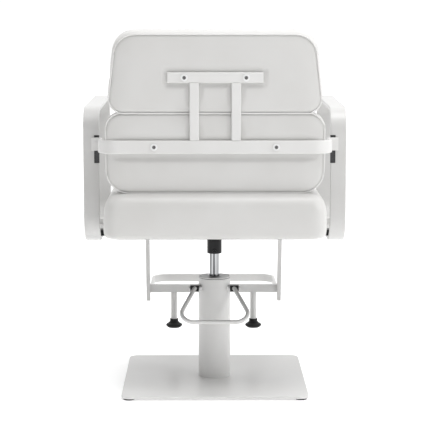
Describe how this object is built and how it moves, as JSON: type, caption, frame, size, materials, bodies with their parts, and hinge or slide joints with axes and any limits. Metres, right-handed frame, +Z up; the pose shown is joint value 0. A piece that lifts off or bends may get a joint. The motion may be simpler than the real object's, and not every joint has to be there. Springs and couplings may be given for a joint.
{
  "type": "salon styling chair",
  "caption": "Hydraulic salon styling chair: padded seat and two-part back, loop arms, footrest, foot lever, column and square floor plate.",
  "frame": {"origin": "on the floor, at the axis about which the seat turns", "axes": "+Z up, -Y the way the sitter faces, +X towards the sitter's left hand"},
  "size_m": [0.628, 0.7045, 0.8812],
  "materials": {
    "white_paint": "fine satin powder coat",
    "white_plastic": "smooth",
    "white_vinyl": "fine-grained upholstery, satin",
    "black_cloth": "woven, matt",
    "plywood": "raw birch plywood",
    "chrome": "polished",
    "steel": "turned",
    "zinc_steel": "bright zinc",
    "black_steel": "satin black",
    "cast_iron": "as cast",
    "black_rubber": "moulded"
  },
  "bodies": {
    "base": {"base_plate": "white_paint", "base_glides": "black_rubber", "pump_foot": "cast_iron", "pump_foot_bolts": "zinc_steel", "inlet_valve_ball": "steel", "oil_reservoir": "steel", "pump_cylinder": "steel", "pump_head": "cast_iron", "gland_nut": "chrome", "rod_wiper_seal": "black_rubber", "column_cover": "white_paint", "column_gasket": "black_rubber", "column_cap": "white_paint", "lever_bushes": "white_plastic"},
    "piston": {"piston_head": "steel", "piston_seal": "black_rubber"},
    "lever": {"lever_shaft": "black_steel", "lever_end_screws": "zinc_steel", "lever_cam": "black_steel", "lever_hubs": "black_steel", "lever_bail": "white_paint"},
    "plunger": {"pump_plunger": "steel", "plunger_spring": "steel"},
    "seat": {"piston_rod": "chrome", "piston_retaining_ring": "steel", "seat_sleeve": "black_steel", "sleeve_screw": "black_steel", "seat_mount_plate": "black_steel", "mount_plate_bolts": "zinc_steel", "crossbar_rear": "black_steel", "crossbar_front": "white_paint", "seat_screws": "zinc_steel", "arm_bolts": "zinc_steel", "seat_underlining": "black_cloth", "seat_board": "plywood", "seat_cushion": "white_vinyl", "arm_left": "white_paint", "arm_right": "white_paint", "strap_socket_left": "cast_iron", "strap_socket_right": "cast_iron", "strap_bolts": "white_paint", "back_strap": "white_paint", "back_post_left": "white_paint", "back_post_right": "white_paint", "back_top_bar": "white_paint", "back_screws": "black_steel", "back_washers": "white_plastic", "back_board_lower": "plywood", "back_cushion_lower": "white_vinyl", "back_board_upper": "plywood", "back_cushion_upper": "white_vinyl", "footrest_hanger_left": "white_paint", "footrest_hanger_right": "white_paint", "footrest_bar": "white_paint", "footrest_bow": "white_paint", "footrest_leg_left": "white_paint", "footrest_shoe_left": "black_rubber", "footrest_leg_right": "white_paint", "footrest_shoe_right": "black_rubber", "footrest_bolts": "zinc_steel"}
  },
  "joints": [
    {"name": "seat_height", "type": "slide", "parent": "base", "child": "piston", "axis": [0, 0, 1], "range_m": [-0.048, 0.1]},
    {"name": "seat_turn", "type": "hinge", "parent": "piston", "child": "seat", "pos_m": [0, 0, 0.3], "axis": [0, 0, 1], "continuous": true},
    {"name": "foot_lever", "type": "hinge", "parent": "base", "child": "lever", "pos_m": [0, 0.02, 0.2365], "axis": [-1, 0, 0], "range_deg": [-3, 20], "stiffness_Nm_per_rad": 3},
    {"name": "pump_stroke", "type": "slide", "parent": "base", "child": "plunger", "axis": [0, 0, -1], "range_m": [-0.00054, 0.00354], "deforming": ["plunger_spring"]}
  ],
  "couplings": [
    {"joint": "pump_stroke", "follows": "foot_lever", "m_per_rad": 0.0101}
  ]
}
